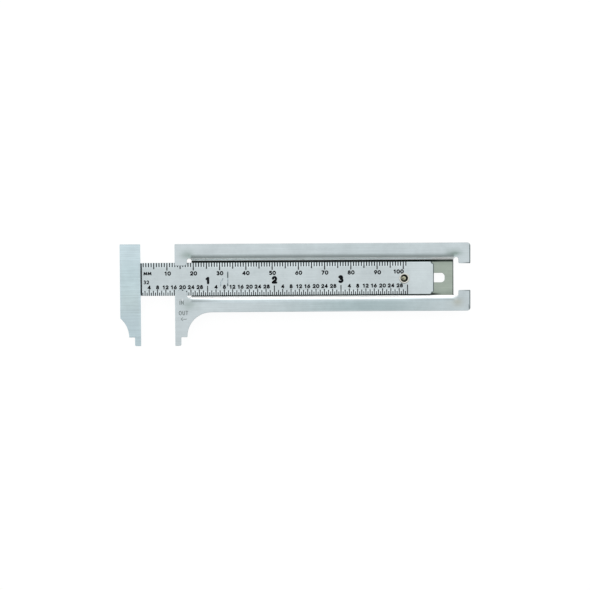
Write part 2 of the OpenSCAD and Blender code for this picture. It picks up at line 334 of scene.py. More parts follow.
def frame_loop():
    """Outline of the frame: fixed jaw, lower rail, tail end, upper rail and jaw end."""
    jaw_window = RULE_W / 2 - JAW_TAB_LAP
    tail_window = RULE_W / 2 - TAIL_TAB_LAP
    round_end = RELIEF / 2
    return rounded_loop([
        (0, JAW_TIP, CORNER),
        (NIB_W, JAW_TIP, NIB_CORNER),
        (NIB_W, NIB_TOP, CORNER),
        (NECK_W, NIB_TOP, CORNER),
        (NECK_W, -HALF_W, FILLET_R),
        (FRAME_L, -HALF_W, FRAME_CORNER),
        (FRAME_L, -tail_window, CORNER),
        (TAIL_TAB_X, -tail_window, TAIL_TAB_CORNER),
        (TAIL_TAB_X, -RELIEF_Y, round_end),
        (FLOOR_X1, -RELIEF_Y, round_end),
        (FLOOR_X1, RELIEF_Y, round_end),
        (TAIL_TAB_X, RELIEF_Y, round_end),
        (TAIL_TAB_X, tail_window, TAIL_TAB_CORNER),
        (FRAME_L, tail_window, CORNER),
        (FRAME_L, HALF_W, FRAME_CORNER),
        (0, HALF_W, CORNER),
        (0, jaw_window, CORNER),
        (JAW_TAB, jaw_window, JAW_TAB_CORNER),
        (JAW_TAB, RELIEF_Y, round_end),
        (FLOOR_X0, RELIEF_Y, round_end),
        (FLOOR_X0, -RELIEF_Y, round_end),
        (JAW_TAB, -RELIEF_Y, round_end),
        (JAW_TAB, -jaw_window, JAW_TAB_CORNER),
        (0, -jaw_window, CORNER),
    ])


def slot_loop():
    """Outline of the slot in the floor, clockwise, since the material lies outside it."""
    x0, x1 = FLOOR_X0 + SLOT_LAND, RIVET_X + SLOT_OVER
    half = SLOT_W / 2
    corners = [(x0, -half), (x0, half), (x1, half), (x1, -half)]
    return rounded_loop([(x, y - CHANNEL_DROP - RULE_DROP, SLOT_CORNER) for x, y in corners])


def up_shoulder(x, y):
    """Distance up the shoulder: 0 on the floor, SHOULDER_RUN where the flat starts."""
    side = abs(y + CHANNEL_DROP) - FLOOR_HALF
    past = max(TURN_X0 - x, x - TURN_X1, 0) * SHOULDER_RUN / TURN_L
    if past > SHOULDER_RUN:
        return math.hypot(max(side, 0), past)
    if side <= 0:
        return 0
    return math.hypot(side, past * rising(side, 0, CORNER_RAMP))


def shoulder_rise(run, low_r, high_r):
    """Height over the floor at a distance up the shoulder, for one face of the sheet."""
    low_end = low_r * math.sin(SLOPE)
    high_start = SHOULDER_RUN - high_r * math.sin(SLOPE)
    if run < low_end:
        rise = low_r - math.sqrt(low_r ** 2 - run ** 2)
    elif run < high_start:
        rise = low_r * (1 - math.cos(SLOPE)) + (run - low_end) * math.tan(SLOPE)
    elif run < SHOULDER_RUN:
        rise = RAIL_Z - high_r + math.sqrt(high_r ** 2 - (SHOULDER_RUN - run) ** 2)
    else:
        rise = RAIL_Z
    fade = FADE_DROP * (1 - rising(run, SHOULDER_RUN, FADE_RUN))
    return rise * (1 - fade / RAIL_Z)


def frame_top(x, y):
    """Front face of the frame's sheet."""
    return SHEET + shoulder_rise(up_shoulder(x, y), CREASE_R, SHOULDER_R)


def frame_back(x, y):
    """Back face of the frame's sheet."""
    return shoulder_rise(up_shoulder(x, y), CREASE_R + SHEET, SHOULDER_R - SHEET)


# Tones of the front faces, as shares of the steel's colour, most of them painted light and shade.
# Each of the frame's stops is a distance up the shoulder and its tone: the channel floor's olive
# tint darkened by painted shade, painted shade near the floor's walls and in the crease, and painted
# highlights on the shoulders.
PLAIN = (1, 1, 1)
OLIVE_AND_SHADE = (0.64, 0.665, 0.56)
FLOOR_SHADE = (0.53, 0.56, 0.47)
# Painted shade, nearly black, for the gap beside the rule and for the rivet's groove
DEEP_SHADE = (0.012, 0.016, 0.014)
CREASE_SHADE = (0.14, 0.17, 0.13)
UPPER_PAINTED_GLEAM = (1.5, 1.4, 1.35)
LOWER_PAINTED_GLEAM = (2.2, 2.1, 2.0)
UPPER_SHADING_STOPS = [
    (-2.4, OLIVE_AND_SHADE), (-1.0, FLOOR_SHADE), (-0.75, FLOOR_SHADE), (-0.5, CREASE_SHADE), (-0.15, CREASE_SHADE),
    (0.0, UPPER_PAINTED_GLEAM), (0.7, UPPER_PAINTED_GLEAM), (1.2, (0.95, 1.0, 0.97)), (2.0, (0.9, 0.92, 0.91)),
    (2.9, PLAIN),
]
LOWER_SHADING_STOPS = [
    (-2.4, OLIVE_AND_SHADE), (-0.9, FLOOR_SHADE), (-0.1, (0.5, 0.5, 0.42)), (0.05, LOWER_PAINTED_GLEAM),
    (0.5, LOWER_PAINTED_GLEAM), (0.8, (1.6, 1.6, 1.6)), (1.15, (1.2, 1.21, 1.21)),
    (1.45, (0.8, 0.82, 0.82)), (1.9, (0.9, 0.92, 0.93)), (2.7, PLAIN),
]

# For each side of the channel: its stops, where the painted shade in the gap beside the rule ends,
# how much of that is missing past the rule's tail, and how much painted shade darkens the rail
UPPER_SIDE = (UPPER_SHADING_STOPS, 0, 0.25, 0.05)
LOWER_SIDE = (LOWER_SHADING_STOPS, -0.06, 1, 0.3)

# How much painted shade darkens the lower shoulder towards the jaw end and towards the tail end
JAW_END_DIP = 0.38
TAIL_END_DIP = 0.22
MIDDLE_REACH = 3
TURN_FADE = 0.3

# Where painted shade darkens the rails most, towards a cyan grey, and how far that reaches
RAIL_SHADE = (0, 0.25, 0.25)
RAIL_SHADE_X = 72
RAIL_SHADE_REACH = 30

# Patches of painted shade at the channel's corners, where the pressed sheet dishes: place x and y,
# reach x and y, share, colour
GREEN_CORNER_SHADE = (0.45, 0.52, 0.46)
WARM_CORNER_SHADE = (0.8, 0.72, 0.58)
CORNER_SHADES = [
    (4.7, 8.8, 2.6, 1.6, 0.65, GREEN_CORNER_SHADE),
    (106.6, 9.0, 2.6, 0.9, 0.85, GREEN_CORNER_SHADE),
    (5.3, -10.2, 2.8, 1.9, 0.5, GREEN_CORNER_SHADE),
    (107.6, -9.6, 2.0, 1.4, 0.6, WARM_CORNER_SHADE),
]

# Painted shade on edges: at the tail end, on the sides that face away, and on lips that face the
# back; painted highlight on the rule beside its lines and along its edges, and the rule lighter past
# its scale
EDGE_SHADE = (0.14, 0.17, 0.17)
EDGE_LINE = 0.42
FAR_SHADE = 0.7
RIM_HIGHLIGHT = (1.25, 1.25, 1.25)
TICKS_HIGHLIGHT = (1.22, 1.22, 1.22)
TAIL_GAIN = 0.09

# Darker and warmer inside the rivet's bore
BORE_TONE = (0.75, 0.75, 0.6)

# Painted shading of the sliding jaw along Y: lighter towards its top, darker towards its nib
JAW_SHADING_STOPS = [
    (-24, (0.95, 0.99, 1.02)), (-16, (0.92, 0.95, 0.98)), (-8.6, (0.965, 0.99, 0.99)),
    (-1, (1, 1.045, 1.06)), (3, (1.035, 1.08, 1.1)), (11, (1.08, 1.1, 1.13)),
]


def between(stops, place):
    """Tone at a place among stops, evened out between them."""
    for (start, low), (end, high) in zip(stops, stops[1:]):
        if place < end:
            return towards(low, high, rising(place, start, end - start))
    return list(stops[-1][1])


def towards(tone, goal, share):
    """A tone taken a share of the way to another."""
    return [a + (b - a) * share for a, b in zip(tone, goal)]


def stained(tone, colour, share):
    """A tone taken a share of the way to its product with a colour."""
    return towards(tone, [t * c for t, c in zip(tone, colour)], share)


def frame_tone(x, y):
    """Tone of the front face, most of it painted light and shade: the floor's olive tint with
    painted shade, painted shade in the gap beside the rule and in the crease, painted highlights on
    the shoulders, painted shade on the rails' middle and at the lower shoulder's ends, patches of
    painted shade at the channel's corners and shaded edges at the tail end."""
    stops, gap_shade_end, open_gap_share, rail_shade_share = UPPER_SIDE if y > 0 else LOWER_SIDE
    past_turn = max(TURN_X0 - x, x - TURN_X1)
    across = max(abs(y + CHANNEL_DROP) - FLOOR_HALF, -MIDDLE_REACH)
    run = across if 0 < past_turn < TURN_L + TURN_FADE else up_shoulder(x, y) or across
    tone = between(stops, run)
    if y < 0:
        # Painted shade on the lower shoulder towards both ends, which gives way to the plain colour
        # past its corners
        dip = JAW_END_DIP * (1 - rising(x, 8, 10)) + TAIL_END_DIP * rising(x, 80, 25)
        dip *= rising(run, 0.5, 0.4) * (1 - rising(run, 1.6, 0.8))
        tone = towards(tone, (0, 0, 0), dip)
        tone = towards(tone, PLAIN, rising(past_turn, 0, 1.1) * rising(run, 0.3, 0.3))
    # Painted shade in the gap beside the rule; less of it past the rule's tail, where the gap lies
    # open
    open_gap = open_gap_share * rising(x, TAIL_IN_FRAME, 0.4)
    gap_shade = rising(run, -1, 0.2) * (1 - rising(run, gap_shade_end, 0.1)) * (1 - open_gap)
    tone = towards(tone, DEEP_SHADE, gap_shade)
    # Painted shade on the rails' middle, most on the lower rail
    rail_shade = math.exp(-(((x - RAIL_SHADE_X) / RAIL_SHADE_REACH) ** 2)) * rising(run, 1.2, 1.4)
    tone = towards(tone, RAIL_SHADE, rail_shade_share * rail_shade)
    # Patches of painted shade at the channel's corners
    for shade_x, shade_y, reach_x, reach_y, share, colour in CORNER_SHADES:
        share *= math.exp(-(((x - shade_x) / reach_x) ** 2) - ((y - shade_y) / reach_y) ** 2)
        tone = stained(tone, colour, share * rising(run, 0.6, 0.6))
    for line_x in (FLOOR_X1, FRAME_L):
        if line_x == FRAME_L or run < 0:
            shade = rising(x, line_x - EDGE_LINE, 0.1) * (x < line_x + 0.1)
            tone = stained(tone, EDGE_SHADE, shade)
    return tone


def rule_tone(x, y):
    """Tone of the rule's face: painted highlight beside its lines and along its edges, lighter past
    its scale, and painted shade on its tail edge.
    """
    near = RULE_W / 2 - abs(y)
    if x < SCALE_L:
        tone = towards(PLAIN, TICKS_HIGHLIGHT, 1 - rising(near, 1.3, 0.8))
    else:
        tone = towards(PLAIN, RIM_HIGHLIGHT, 1 - rising(near, 0.25, 0.15))
    tone = [t * (1 + TAIL_GAIN * rising(x, SCALE_L, 3)) for t in tone]
    clipped = (RULE_L - x + near - TAIL_CLIP) / math.sqrt(2)
    return towards(tone, EDGE_SHADE, 1 - rising(min(RULE_L - x, clipped), 0.25, 0.12))


def jaw_tone(x, y):
    """Painted shading of the sliding jaw's face, which changes along Y only: lighter towards its
    top.
    """
    return between(JAW_SHADING_STOPS, y)


def softened(x, y):
    """Share and limit of the frame's lean: the upper shoulder opens a little towards the tail."""
    return (0.52 - 0.08 * rising(x, 60, 40), 9) if y > 0 else (0.6, 0.5)


def frame_sheet():
    """The whole frame, with close rows over the shoulders and close columns over their corners."""
    shoulder = spaced(FLOOR_HALF - 1, FLOOR_HALF + SHOULDER_RUN + 0.6, SHOULDER_STEP)
    side_rows = spaced(0.6, FLOOR_HALF - 1.6, 1.2) + shoulder
    rows = [s * y - CHANNEL_DROP for s in (1, -1) for y in side_rows]
    rows += [HALF_W - 1.2, HALF_W - 0.6, 0.6 - HALF_W] + spaced(NIB_TOP, -HALF_W, 1.5)
    columns = spaced(0.6, JAW_TAB - 0.4, 1)
    columns += spaced(JAW_TAB, TURN_X0 + 0.6, TURN_STEP)
    columns += spaced(TURN_X0 + 1, TURN_X1 - 1, 3)
    columns += spaced(TURN_X1 - 0.6, TAIL_TAB_X, TURN_STEP)
    columns += spaced(TAIL_TAB_X + 0.4, FRAME_L - 0.9, 1)
    columns += spaced(FRAME_L - 0.5, FRAME_L - 0.3, LINE_STEP)
    return plate("frame_sheet", [frame_loop(), slot_loop()], frame_top, frame_back, columns, rows,
                 FRAME_AT, tone=frame_tone, soften=softened)


# What slides: rule, jaw, rivet and washers


def round_hole(x, radius, steps=48):
    """Circle, clockwise, as a hole's edge."""
    turns = [-2 * math.pi * k / steps for k in range(steps)]
    return [Vector((x + radius * math.cos(a), radius * math.sin(a))) for a in turns]


def rule_strip():
    """The graduated strip, its tail corners clipped, with the rivet's hole."""
    half = RULE_W / 2
    outline = rounded_loop([
        (RULE_START, -half, CORNER),
        (RULE_L - TAIL_CLIP, -half, CORNER),
        (RULE_L, TAIL_CLIP - half, CORNER),
        (RULE_L, half - TAIL_CLIP, CORNER),
        (RULE_L - TAIL_CLIP, half, CORNER),
        (RULE_START, half, CORNER),
    ])
    loops = [outline, round_hole(RIVET_X, SHANK_R + SHANK_PLAY)]
    columns = spaced(RULE_START + 1, RULE_L - 2, 2) + spaced(RULE_L - 1.6, RULE_L - 0.2, 0.07)
    lines = spaced(half - 2.2, half - 1.2, 0.25) + spaced(half - 0.42, half - 0.22, LINE_STEP)
    rows = spaced(3 - half, half - 3, 2) + lines + [-y for y in lines]
    return plate("rule_strip", loops, lambda x, y: RULE_TOP, lambda x, y: RULE_Z, columns, rows,
                 SLIDE_AT, edge=0.1, tone=rule_tone)


def jaw_plate():
    """The sliding jaw: a flat plate, hollowed on its outer side, down to its nib. Its measuring
    face stands back by a hair, so that the closed jaws don't share a plane."""
    hollow_x = -SLIDE_NECK_W - SLIDE_HOLLOW_R
    start = math.acos((hollow_x + SLIDE_JAW_W) / -SLIDE_HOLLOW_R)
    hollow_y = NIB_TOP + SLIDE_HOLLOW_R * math.sin(start)
    corners = [
        (-SLIDE_JAW_SET_BACK, JAW_TIP, CORNER),
        (-SLIDE_JAW_SET_BACK, HALF_W, CORNER),
        (-SLIDE_JAW_W, HALF_W, CORNER),
        (-SLIDE_JAW_W, hollow_y, CORNER),
    ]
    for k in range(1, HOLLOW_STEPS):
        turn = start * (1 - k / HOLLOW_STEPS)
        corners.append((
            hollow_x + SLIDE_HOLLOW_R * math.cos(turn),
            NIB_TOP + SLIDE_HOLLOW_R * math.sin(turn),
            CORNER / 10,
        ))
    corners += [
        (-SLIDE_NECK_W, NIB_TOP, CORNER),
        (-NIB_W, NIB_TOP, CORNER),
        (-NIB_W, JAW_TIP, NIB_CORNER),
    ]
    columns = spaced(-SLIDE_JAW_W + 1, -1, 2)
    rows = spaced(NIB_TOP + 1, HALF_W - 1, 3)
    return plate("jaw_plate", [rounded_loop(corners)], lambda x, y: RULE_TOP + SLIDE_JAW_T,
                 lambda x, y: RULE_TOP, columns, rows, JAW_AT, tone=jaw_tone)


def lathe(name, section, at, steps=72, tone=None, off=lambda height: Vector()):
    """Round piece from its section: points (radius, height) from axis to axis, or a closed ring."""
    verts, faces, rings = [], [], []
    for radius, height in section:
        if radius < 1e-6:
            rings.append([len(verts)] * steps)
            verts.append(Vector((0, 0, height)) + off(height))
            continue
        rings.append(range(len(verts), len(verts) + steps))
        for k in range(steps):
            turn = 2 * math.pi * k / steps
            point = Vector((radius * math.cos(turn), radius * math.sin(turn), height))
            verts.append(point + off(height))
    closed = section[0][0] > 1e-6
    for a, b in zip(rings, rings[1:] + (rings[:1] if closed else [])):
        for k in range(steps):
            j = (k + 1) % steps
            face = list(dict.fromkeys((a[k], a[j], b[j], b[k])))
            if len(face) > 2:
                faces.append(face)
    tones = [tone(v) for v in verts] if tone else None
    piece = finished(name, verts, faces, at, tones=tones)
    piece.data.set_sharp_from_angle(angle=math.radians(50))
    return piece


# The rivet's place, and how far its clinched end sits off it
RIVET_AT = SLIDE_AT + Vector((RIVET_X, 0, 0)) * MM
CLINCH_OFF = Vector((0.05, -0.16, 0))


def arc(x, y, rx, ry, start, end, steps):
    """Points on an ellipse round (x, y), from one angle to another, in degrees."""
    turns = [math.radians(start + (end - start) * k / steps) for k in range(steps + 1)]
    return [(x + rx * math.cos(a), y + ry * math.sin(a)) for a in turns]


def rivet_tone(v):
    """Tone of the rivet's front: painted shade in the groove round its button and in a streak across
    the button, and darker and warmer in its bore.
    """
    if v.z < RULE_TOP - BORE_FLOOR - 0.01:
        return PLAIN
    x, y, _ = v - CLINCH_OFF
    out = math.hypot(x, y)
    groove = rising(math.hypot(x + 0.13, y), BUTTON_R - GROOVE_EDGE, GROOVE_EDGE)
    groove *= 1 - rising(out, BORE_R - 0.03, GROOVE_EDGE)
    along, across = 0.82 * x + 0.57 * y, 0.82 * y - 0.57 * x
    streak = math.exp(-(((across - 0.15) / 0.17) ** 2)) * smooth((0.6 - along) / 0.9)
    if out < BORE_R:
        return towards(BORE_TONE, DEEP_SHADE, max(groove, streak))
    return towards(PLAIN, DEEP_SHADE, groove)


def rivet():
    """Tubular rivet: oval head behind, rolled lip on the rule's face, a button left in its bore."""
    crest = RULE_TOP + CLINCH_H
    floor = RULE_TOP - BORE_FLOOR
    low_h, low_r = HEAD_T * HEAD_ROUND, HEAD_R * HEAD_ROUND
    rise = CLINCH_H * CLINCH_BASE
    section = [(0, HEAD_Z)]
    section += arc(HEAD_R - low_r, HEAD_Z + low_h, low_r, low_h, -90, 0, 10)
    section += [(HEAD_R, SPRING_Z - HEAD_EASE), (HEAD_R - HEAD_EASE, SPRING_Z), (SHANK_R, SPRING_Z)]
    section += [(SHANK_R, RULE_TOP), (CLINCH_R - 0.05, RULE_TOP)]
    section += arc(LIP_CREST_R, crest - rise, CLINCH_R - LIP_CREST_R, rise, 0, 90, 8)
    section += arc(LIP_CREST_R, crest - LIP_DROP, LIP_CREST_R - BORE_R, LIP_DROP, 90, 180, 8)[1:]
    section += [(BORE_R - 0.03, floor), (BUTTON_R + GROOVE_EDGE, floor)]
    section += arc(0, floor, BUTTON_R, BUTTON_H, 0, 90, 8)[:-1] + [(0, floor + BUTTON_H)]
    return lathe("rivet_turned", section, RIVET_AT, tone=rivet_tone,
                 off=lambda height: CLINCH_OFF * (height > floor - 0.01))


def flat_washer():
    """Flat washer with eased edges."""
    hole, ease = SHANK_R + SHANK_PLAY, WASHER_EASE
    top, low = WASHER_Z + WASHER_T, WASHER_Z
    section = [
        (hole, low + ease), (hole + ease, low), (WASHER_R - ease, low), (WASHER_R, low + ease),
        (WASHER_R, top - ease), (WASHER_R - ease, top), (hole + ease, top), (hole, top - ease),
    ]
    return lathe("washer_turned", section, RIVET_AT)


def cone_washer():
    """Conical spring washer between the flat washer and the rivet's head."""
    hole, ease = SHANK_R + SHANK_PLAY, SPRING_EASE
    section = [
        (hole, SPRING_Z + ease), (hole + ease, SPRING_Z), (SPRING_R - ease, WASHER_Z - SPRING_T),
        (SPRING_R, WASHER_Z - SPRING_T + ease), (SPRING_R, WASHER_Z - ease),
        (SPRING_R - ease, WASHER_Z), (hole + ease, SPRING_Z + SPRING_T),
        (hole, SPRING_Z + SPRING_T - ease),
    ]
    return lathe("spring_turned", section, RIVET_AT)


# Nodes


def added(tree, kind, values=None, **settings):
    """A new node with its settings, each input given a value or linked to a socket."""
    node = tree.nodes.new(kind)
    for name, setting in settings.items():
        setattr(node, name, setting)
    for place, value in (values or {}).items():
        if isinstance(value, bpy.types.NodeSocket):
            tree.links.new(value, node.inputs[place])
        else:
            node.inputs[place].default_value = value
    return node


def maths(tree, operation, first, second):
    """Result of a math node, from values or sockets."""
    return added(tree, "ShaderNodeMath", {0: first, 1: second}, operation=operation).outputs[0]


def mapped(tree, value, start, end, low=0, high=1, **settings):
    """Result of a map range node."""
    values = {"Value": value, "From Min": start, "From Max": end, "To Min": low, "To Max": high}
    return added(tree, "ShaderNodeMapRange", values, **settings).outputs[0]


def blended(tree, mode, share, first, second):
    """Result of a colour mix node, from values or sockets."""
    values = {"Factor": share, 6: first, 7: second}
    return added(tree, "ShaderNodeMix", values, data_type="RGBA", blend_type=mode).outputs[2]


# Graduations, made by Geometry Nodes

PAINT_RISE = 0.012
PAINT_DEPTH = 0.03
LEVELS = ("1", "2", "3")


def graduation_tree():
    """Node tree for a row of lines along X, longer at every second, third and fourth kind."""
    tree = bpy.data.node_groups.new("graduation_row", "GeometryNodeTree")
    kinds = {"Count": "Int", "Pitch": "Float", "Side": "Float", "Line width": "Float",
             "Line depth": "Float", "Length": "Float", "Material": "Material"}
    for level in LEVELS:
        kinds |= {"Every " + level: "Int", "Length " + level: "Float"}
    sockets = {}
    for name, kind in kinds.items():
        made = tree.interface.new_socket(name, in_out="INPUT", socket_type="NodeSocket" + kind)
        sockets[name] = made.identifier
    tree.interface.new_socket("Geometry", in_out="OUTPUT", socket_type="NodeSocketGeometry")
    given = added(tree, "NodeGroupInput").outputs
    start = added(tree, "ShaderNodeCombineXYZ", {"X": given["Pitch"]}).outputs[0]
    row = added(tree, "GeometryNodeMeshLine",
                {"Count": given["Count"], "Start Location": start, "Offset": start}, mode="OFFSET")
    number = maths(tree, "ADD", added(tree, "GeometryNodeInputIndex").outputs[0], 1)
    length = given["Length"]
    for level in LEVELS:
        rest = maths(tree, "MODULO", number, given["Every " + level])
        whole = maths(tree, "LESS_THAN", rest, 0.5)
        picks = {"Factor": whole, 2: length, 3: given["Length " + level]}
        length = added(tree, "ShaderNodeMix", picks).outputs[0]
    size = added(tree, "ShaderNodeCombineXYZ",
                 {"X": given["Line width"], "Y": length, "Z": given["Line depth"]})
    hang = added(tree, "ShaderNodeCombineXYZ",
                 {"Y": maths(tree, "MULTIPLY", given["Side"], 0.5), "Z": -0.5})
    line = added(tree, "GeometryNodeMeshCube").outputs["Mesh"]
    shift = added(tree, "GeometryNodeTransform", {"Geometry": line, "Translation": hang.outputs[0]})
    placed = added(
        tree, "GeometryNodeInstanceOnPoints",
        {"Points": row.outputs["Mesh"], "Instance": shift.outputs[0], "Scale": size.outputs[0]},
    )
    real = added(tree, "GeometryNodeRealizeInstances", {0: placed.outputs[0]})
    paint = added(tree, "GeometryNodeSetMaterial",
                  {"Geometry": real.outputs[0], "Material": given["Material"]})
    added(tree, "NodeGroupOutput", {0: paint.outputs[0]})
    return tree, sockets


def graduation_row(name, tree, sockets, edge_y, values):
    """Plain mesh of one row of lines from the node tree, in place on the rule's face."""
    holder = bpy.data.objects.new("holder", bpy.data.meshes.new("holder"))
    bpy.context.scene.collection.objects.link(holder)
    modifier = holder.modifiers.new("row", "NODES")
    modifier.node_group = tree
    for key, value in values.items():
        modifier[sockets[key]] = value
    evaluated = holder.evaluated_get(bpy.context.evaluated_depsgraph_get())
    mesh = bpy.data.meshes.new_from_object(evaluated)
    holder.modifiers.remove(modifier)
    bpy.data.objects.remove(holder)
    mesh.name = name
    lift = Vector((0, edge_y, RULE_TOP + PAINT_RISE))
    mesh.transform(Matrix.Translation(SLIDE_AT) @ Matrix.Scale(MM, 4) @ Matrix.Translation(lift))
    piece = bpy.data.objects.new(name, mesh)
    bpy.context.scene.collection.objects.link(piece)
    return piece


# Numerals and signs: width and strokes of each in a box one high


def ring(x, y, rx, ry):
    """Closed round stroke."""
    return arc(x, y, rx, ry, 0, 360, 20)


GLYPHS = {
    "0": (0.8, [ring(0.4, 0.5, 0.4, 0.5)]),
    "1": (0.3, [[(0, 0.8), (0.3, 1)], [(0.3, 1), (0.3, 0)]]),
    "2": (0.72, [arc(0.35, 0.68, 0.32, 0.32, 170, -38, 12), [(0.6, 0.48), (0, 0)],
                 [(0, 0), (0.72, 0)]]),
    "3": (0.66, [arc(0.3, 0.76, 0.27, 0.24, 155, -90, 12),
                 arc(0.3, 0.27, 0.34, 0.27, 88, -135, 14)]),
    "4": (0.78, [[(0.56, 0), (0.56, 1)], [(0.56, 1), (0, 0.27)], [(0, 0.27), (0.78, 0.27)]]),
    "5": (0.7, [[(0.68, 1), (0.14, 1)], [(0.14, 1), (0.08, 0.6)],
                arc(0.3, 0.32, 0.38, 0.32, 118, -125, 14)]),
    "6": (0.7, [[(0.5, 1), (0.08, 0.46)], ring(0.35, 0.32, 0.34, 0.32)]),
    "7": (0.66, [[(0, 1), (0.66, 1)], [(0.66, 1), (0.18, 0)]]),
    "8": (0.68, [ring(0.34, 0.76, 0.26, 0.24), ring(0.34, 0.27, 0.34, 0.27)]),
    "9": (0.7, [[(0.2, 0), (0.62, 0.54)], ring(0.35, 0.68, 0.34, 0.32)]),
    "M": (1.1, [[(0, 0), (0.12, 1)], [(0.12, 1), (0.55, 0.2)], [(0.55, 0.2), (0.98, 1)],
                [(0.98, 1), (1.1, 0)]]),
    "I": (0.0, [[(0, 0), (0, 1)]]),
    "~": (0.3, [[(0, 0), (0.03, 0.5), (0.2, 0.75), (0.3, 1)]]),
    "N": (0.72, [[(0, 0), (0, 1)], [(0, 1), (0.72, 0)], [(0.72, 0), (0.72, 1)]]),
    "O": (0.86, [ring(0.43, 0.5, 0.43, 0.5)]),
    "U": (0.66, [[(0, 1)] + arc(0.33, 0.33, 0.33, 0.33, 180, 360, 10) + [(0.66, 1)]]),
    "T": (0.7, [[(0, 1), (0.7, 1)], [(0.35, 1), (0.35, 0)]]),
    "<": (2.0, [[(0, 0.5), (2.0, 0.5)], [(0, 0.5), (0.7, 1)], [(0, 0.5), (0.7, 0)]]),
    ">": (2.0, [[(2.0, 0.5), (0, 0.5)], [(2.0, 0.5), (1.3, 1)], [(2.0, 0.5), (1.3, 0)]]),
}


def stroke_sides(points, half):
    """Closed outline round a stroke, with round ends, or both sides of a closed stroke."""
    path = [Vector(p) for p in points]
    closed = (path[0] - path[-1]).length < 1e-6
    if closed:
        path = path[:-1]
    sides = []
    for sign in (1, -1):
        side = []
        for i, here in enumerate(path):
            last = i + 1 == len(path)
            before = path[i - 1] if closed or i else here * 2 - path[i + 1]
            after = here * 2 - path[i - 1] if last and not closed else path[(i + 1) % len(path)]
            across = [Vector((-d.y, d.x)).normalized() for d in (here - before, after - here)]
            bulge = sign * half / (1 + across[0].dot(across[1]))
            side.append(here + bulge * (across[0] + across[1]))
        sides.append(side)
    if closed:
        return sides
    caps = []
    for end, inner in ((path[-1], path[-2]), (path[0], path[1])):
        out = (end - inner).normalized() * half
        caps.append([end + Matrix.Rotation(math.radians(a), 2) @ out for a in (45, 0, -45)])
    return [sides[0] + caps[0] + sides[1][::-1] + caps[1]]


def glyph_mesh(strokes, half):
    """Points and triangles of all strokes joined: those of the plane's triangles that lie in one."""
    coords, edges = [], []
    for stroke in strokes:
        for side in stroke_sides(stroke, half):
            first = len(coords)
            coords += side
            edges += [(first + i, first + (i + 1) % len(side)) for i in range(len(side))]
    points, _, triangles, _, _, _ = delaunay_2d_cdt(coords, edges, [], 0, 1e-5)
    parts = [(Vector(a), Vector(b)) for stroke in strokes for a, b in zip(stroke, stroke[1:])]
    kept = []
    for triangle in triangles:
        middle = sum((points[i] for i in triangle), Vector((0, 0))) / 3
        for a, b in parts:
            share = max(0.0, min(1.0, (middle - a).dot(b - a) / (b - a).length_squared))
            if (middle - a - (b - a) * share).length < half * STROKE_MARGIN:
                kept.append(triangle)
                break
    return points, kept


# Extra space after a narrow 1, and how far from its stroke a triangle may lie, in half widths
AFTER_ONE = 0.24
STROKE_MARGIN = 1.02


def drawn(name, labels, at, z):
    """One mesh of all labels: (text, middle x, low y, height, stroke width, width share, space)."""
    verts, faces, known = [], [], {}
    for text, x, y, height, stroke, width, space in labels:
        scale = height - stroke
        widths = [GLYPHS[c][0] * scale * width for c in text]
        gaps = (len(text) - 1) * (space + stroke) + text[:-1].count("1") * AFTER_ONE
        left = x - (sum(widths) + gaps) / 2
        for char, char_w in zip(text, widths):
            key = (char, height, stroke, width)
            if key not in known:
                shape = GLYPHS[char][1]
                strokes = [[(px * scale * width, py * scale) for px, py in s] for s in shape]
                known[key] = glyph_mesh(strokes, stroke / 2)
            points, triangles = known[key]
            first = len(verts)
            lift = Vector((left, y + stroke / 2, 0))
            for level in (z + PAINT_RISE, z - PAINT_DEPTH):
                verts += [Vector((p.x, p.y, level)) + lift for p in points]
            under = first + len(points)
            faces += [tuple(first + i for i in t) for t in triangles]
            faces += [tuple(under + i for i in t[::-1]) for t in triangles]
            sides = {(t[i], t[(i + 1) % 3]) for t in triangles for i in range(3)}
            for a, b in sides:
                if (b, a) not in sides:
                    faces.append((first + b, first + a, under + a, under + b))
            left += char_w + stroke + space + (AFTER_ONE if char == "1" else 0)
    return finished(name, verts, faces, at)


# Stroke, width share and space of the small numbers, and how far each number sits off its line
FINE = (0.44, 0.97, 0.06)
MM_OFF = {10: 0.19, 40: -0.08, 90: 0.08}
INCH_OFF = {4: 0.04, 8: 0.04, 12: -0.08, 16: -0.14, 24: 0.08, 28: 0.2}


def numerals():
    """Numbers of both scales, the two unit signs and the zero line, which is drawn wide as a painted
    shadow of the sliding jaw's edge as well.
    """
    labels = [(str(n), n + 0.1 + MM_OFF.get(n, 0), 1.38, 1.66, *FINE) for n in range(10, 100, 10)]
    labels.append(("100", 98.25, 1.62, 1.66, *FINE))
    labels.append(("MM", 2.6, 1.56, 1.3, 0.42, 1.12, 0.08))
    labels.append(("32", 2.13, -1.85, 1.5, 0.34, 0.85, 0.14))
    for n, off, height in ((1, -0.07, 2.9), (2, 0.08, 2.95), (3, -0.05, 3.05)):
        labels.append((str(n), n * INCH + off, -2.1 + 0.09 * n, height, 0.92, 0.88, 0))
    for whole in range(4):
        for part in range(4, 32, 4):
            x = (whole + part / 32) * INCH
            labels.append((str(part), x + INCH_OFF.get(part, 0), -3.88 + 0.0024 * x, 1.6, *FINE))
    # The zero line: print, widened and darkened into a painted shadow of the sliding jaw's edge on
    # the rule
    labels.append(("I", 0.24, 0.1 - RULE_W / 2, RULE_W - 0.2, 0.48, 1.0, 0))
    return drawn("numerals", labels, SLIDE_AT, RULE_TOP)


def scuffs():
    """Two dark scuffs on the rule's face, in one line."""
    labels = [("I", 33.1, 0.35, 2.5, 0.44, 1, 0), ("I", 33.05, -2.8, 1.15, 0.42, 1, 0)]
    return drawn("scuffs", labels, SLIDE_AT, RULE_TOP)


